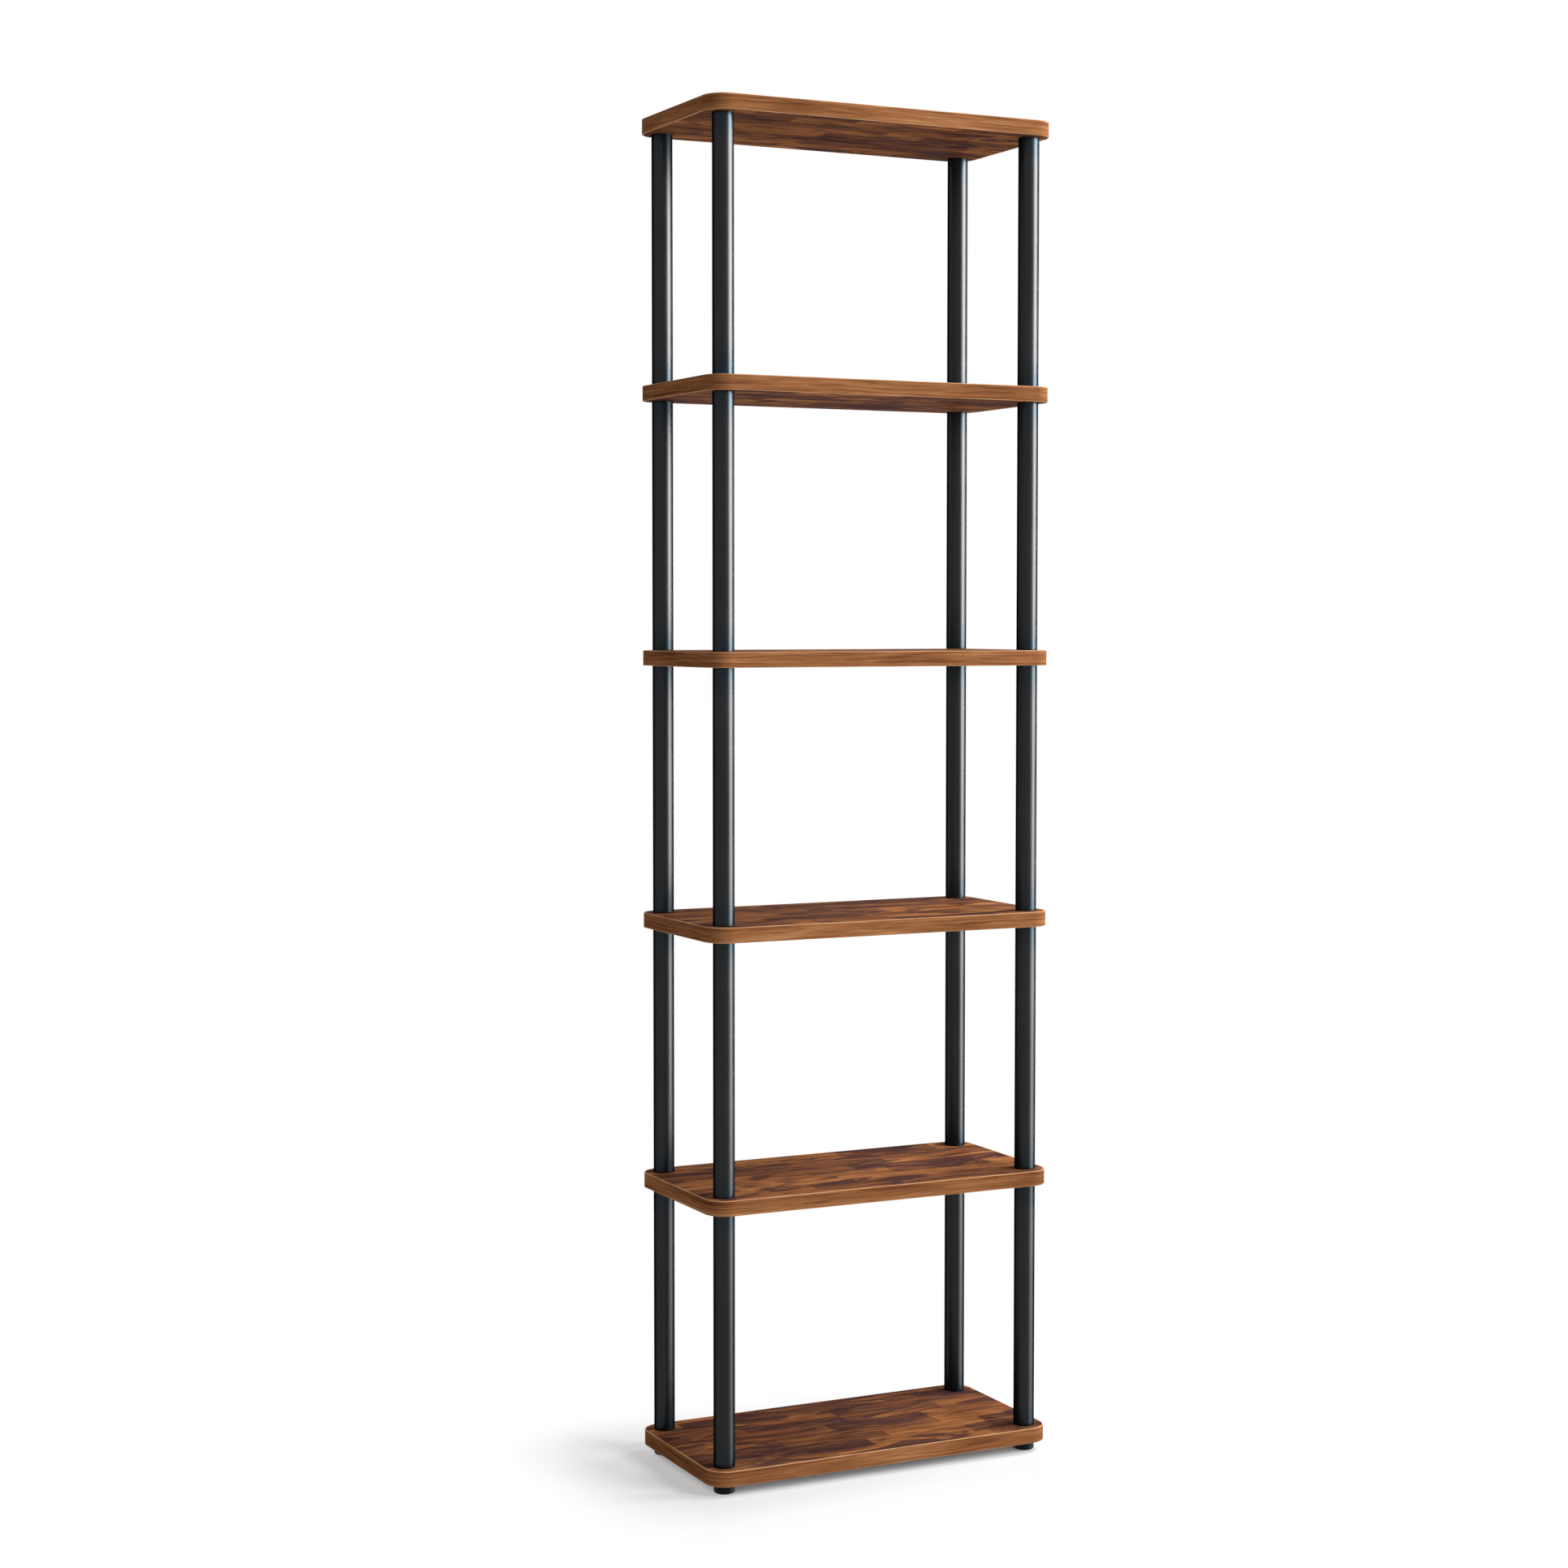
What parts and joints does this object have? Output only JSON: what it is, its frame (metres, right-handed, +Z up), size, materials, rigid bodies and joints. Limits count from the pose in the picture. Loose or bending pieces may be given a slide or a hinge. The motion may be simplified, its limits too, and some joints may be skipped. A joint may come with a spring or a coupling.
{
  "type": "standing bookshelf",
  "caption": "Tall narrow open bookshelf with rounded wood-laminate shelves held apart by round black steel tubes at their corners, on small round feet.",
  "frame": {"origin": "on the floor under the middle of the shelves", "axes": "+X to the right along the front, +Y to the back, +Z up"},
  "size_m": [0.45, 0.22, 1.6025],
  "materials": {
    "shelf_laminate": "satin laminate in a rustic brown wood print, grain along the width, with darker streaks and patches",
    "edge_band": "satin edge band in a lighter orange-brown wood print with fine streaks along the edge",
    "tube_paint": "near-black powder coat, satin, with a slight blue tint",
    "cap_paint": "near-black powder coat, satin",
    "foot_plastic": "black moulded plastic, matt",
    "stud_plug": "grey moulded plug round a zinc-plated screw stud"
  },
  "bodies": {
    "root": {"shelf_1": "shelf_laminate", "shelf_1_edge_band": "edge_band", "shelf_2": "shelf_laminate", "shelf_2_edge_band": "edge_band", "shelf_3": "shelf_laminate", "shelf_3_edge_band": "edge_band", "shelf_4": "shelf_laminate", "shelf_4_edge_band": "edge_band", "shelf_5": "shelf_laminate", "shelf_5_edge_band": "edge_band", "shelf_6": "shelf_laminate", "shelf_6_edge_band": "edge_band", "foot_front_left": "foot_plastic", "tube_1_front_left": "tube_paint", "stud_plug_1_front_left": "stud_plug", "tube_2_front_left": "tube_paint", "stud_plug_2_front_left": "stud_plug", "tube_3_front_left": "tube_paint", "stud_plug_3_front_left": "stud_plug", "tube_4_front_left": "tube_paint", "stud_plug_4_front_left": "stud_plug", "tube_5_front_left": "tube_paint", "stud_plug_5_front_left": "stud_plug", "top_cap_front_left": "cap_paint", "foot_front_right": "foot_plastic", "tube_1_front_right": "tube_paint", "stud_plug_1_front_right": "stud_plug", "tube_2_front_right": "tube_paint", "stud_plug_2_front_right": "stud_plug", "tube_3_front_right": "tube_paint", "stud_plug_3_front_right": "stud_plug", "tube_4_front_right": "tube_paint", "stud_plug_4_front_right": "stud_plug", "tube_5_front_right": "tube_paint", "stud_plug_5_front_right": "stud_plug", "top_cap_front_right": "cap_paint", "foot_back_left": "foot_plastic", "tube_1_back_left": "tube_paint", "stud_plug_1_back_left": "stud_plug", "tube_2_back_left": "tube_paint", "stud_plug_2_back_left": "stud_plug", "tube_3_back_left": "tube_paint", "stud_plug_3_back_left": "stud_plug", "tube_4_back_left": "tube_paint", "stud_plug_4_back_left": "stud_plug", "tube_5_back_left": "tube_paint", "stud_plug_5_back_left": "stud_plug", "top_cap_back_left": "cap_paint", "foot_back_right": "foot_plastic", "tube_1_back_right": "tube_paint", "stud_plug_1_back_right": "stud_plug", "tube_2_back_right": "tube_paint", "stud_plug_2_back_right": "stud_plug", "tube_3_back_right": "tube_paint", "stud_plug_3_back_right": "stud_plug", "tube_4_back_right": "tube_paint", "stud_plug_4_back_right": "stud_plug", "tube_5_back_right": "tube_paint", "stud_plug_5_back_right": "stud_plug", "top_cap_back_right": "cap_paint"}
  },
  "joints": []
}
